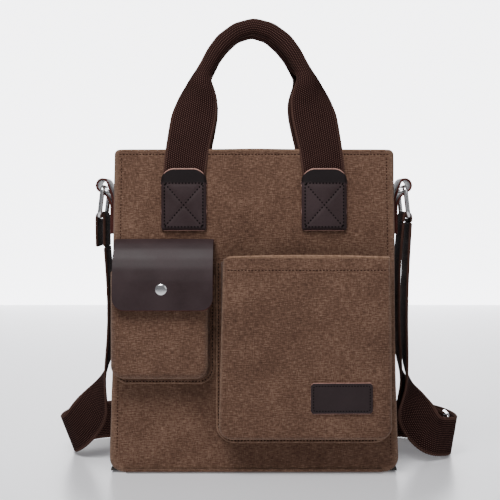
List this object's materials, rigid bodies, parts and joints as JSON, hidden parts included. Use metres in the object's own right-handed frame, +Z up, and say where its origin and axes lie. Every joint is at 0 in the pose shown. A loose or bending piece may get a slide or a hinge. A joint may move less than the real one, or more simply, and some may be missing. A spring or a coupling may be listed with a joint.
{
  "type": "messenger bag",
  "caption": "Upright canvas messenger bag with carry handles, a flapped pocket, an open pocket, side rings and a long webbing shoulder strap with an adjuster.",
  "frame": {"origin": "middle of the underside of the bag, on the surface that it stands on", "axes": "+X to the right of someone facing the front, +Y from the front of the bag to its back, +Z up"},
  "size_m": [0.4336, 0.1914, 0.462],
  "materials": {
    "canvas": "stone-washed heathered brown cotton canvas, matt, paler along seams and edges",
    "webbing": "dark brown heavy twill webbing with a raised dotted weave",
    "dark_leather": "smooth very dark brown leather, satin",
    "leather_edge": "raw cut leather edge, pale pinkish tan, matt",
    "thread": "waxed sewing thread, brown",
    "lining_cloth": "plain woven lining cloth, matt khaki brown",
    "stiffener_board": "matt black stiffener board",
    "zip_tape": "dark brown woven zip tape and nylon coil",
    "zip_metal": "nickel plated zip hardware",
    "bright_metal": "bright nickel plate, polished"
  },
  "bodies": {
    "root": {"base_board": "stiffener_board", "base_panel": "canvas", "flap_seam_band": "dark_leather", "front_anchor_left": "webbing", "front_anchor_right": "webbing", "front_panel": "canvas", "front_patch_left": "dark_leather", "front_patch_right": "dark_leather", "front_piping": "canvas", "label": "dark_leather", "large_pocket": "canvas", "left_gusset": "canvas", "left_ring_tab": "dark_leather", "lining": "lining_cloth", "rear_anchor_left": "webbing", "rear_anchor_right": "webbing", "rear_panel": "canvas", "rear_patch_left": "dark_leather", "rear_patch_right": "dark_leather", "rear_piping": "canvas", "right_gusset": "canvas", "right_ring_tab": "dark_leather", "small_pocket": "canvas", "snap_post": "bright_metal", "snap_stud": "bright_metal", "strap_adjuster": "bright_metal", "strap_adjuster_pin": "bright_metal", "strap_inner_layer": "webbing", "strap_main": "webbing", "strap_outer_layer": "webbing", "top_facing": "canvas", "zip_coil_front": "zip_tape", "zip_coil_rear": "zip_tape", "zip_end_stops": "zip_metal", "zip_strip_front": "canvas", "zip_strip_rear": "canvas", "zip_tape_front": "zip_tape", "zip_tape_rear": "zip_tape"},
    "zip_slider": {"zip_slider": "zip_metal"},
    "zip_pull": {"zip_pull": "zip_metal"},
    "front_handle": {"front_handle": "webbing"},
    "rear_handle": {"rear_handle": "webbing"},
    "pocket_flap": {"small_pocket_flap": "dark_leather", "snap_cap": "bright_metal", "snap_socket": "bright_metal"},
    "left_ring": {"left_ring": "bright_metal", "strap_fold_left": "webbing"},
    "right_ring": {"right_ring": "bright_metal", "strap_fold_right": "webbing"}
  },
  "joints": [
    {"name": "zip_slide", "type": "slide", "parent": "root", "child": "zip_slider", "axis": [1, 0, 0], "range_m": [-0.2, 0]},
    {"name": "zip_pull_hinge", "type": "hinge", "parent": "zip_slider", "child": "zip_pull", "pos_m": [0.1, 0, 0.31625], "axis": [0, 1, 0], "range_deg": [0, 150]},
    {"name": "front_handle_swing", "type": "hinge", "parent": "root", "child": "front_handle", "pos_m": [0, -0.03404, 0.3094], "axis": [1, 0, 0], "range_deg": [0, 95]},
    {"name": "rear_handle_swing", "type": "hinge", "parent": "root", "child": "rear_handle", "pos_m": [0, 0.03404, 0.3094], "axis": [-1, 0, 0], "range_deg": [0, 95]},
    {"name": "flap_lift", "type": "hinge", "parent": "root", "child": "pocket_flap", "pos_m": [-0.0901, -0.03866, 0.2271], "axis": [-1, 0, 0], "range_deg": [0, 90]},
    {"name": "left_ring_swing", "type": "hinge", "parent": "root", "child": "left_ring", "pos_m": [-0.1535, 0, 0.289], "axis": [0, 1, 0], "range_deg": [-3, 25]},
    {"name": "right_ring_swing", "type": "hinge", "parent": "root", "child": "right_ring", "pos_m": [0.1535, 0, 0.289], "axis": [0, -1, 0], "range_deg": [-3, 25]}
  ]
}
